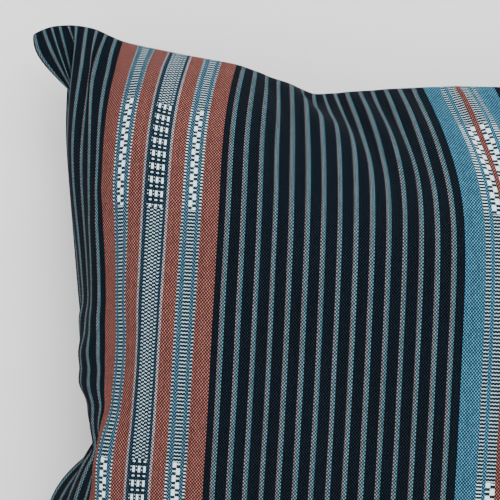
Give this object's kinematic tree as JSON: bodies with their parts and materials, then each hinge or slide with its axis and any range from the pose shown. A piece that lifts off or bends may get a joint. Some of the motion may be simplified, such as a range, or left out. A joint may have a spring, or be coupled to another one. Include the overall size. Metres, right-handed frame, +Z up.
{
  "type": "lumbar cushion",
  "caption": "Plump rectangular cushion in striped handwoven cotton, with knife edges, drawn-out ears and a pinched side, lying on its back.",
  "frame": {"origin": "on the surface it rests on, under the middle of the cushion's box", "axes": "+X along the long edges, +Y along the stripes towards the edge that is uppermost in the picture, +Z up through the crown of the front panel"},
  "size_m": [0.537, 0.386, 0.145],
  "materials": {
    "striped_cloth": "warp-faced handwoven cotton, matt, navy-black ground with grey-blue, terracotta, blue and white stripes"
  },
  "bodies": {
    "root": {"cushion": "striped_cloth"}
  },
  "joints": []
}
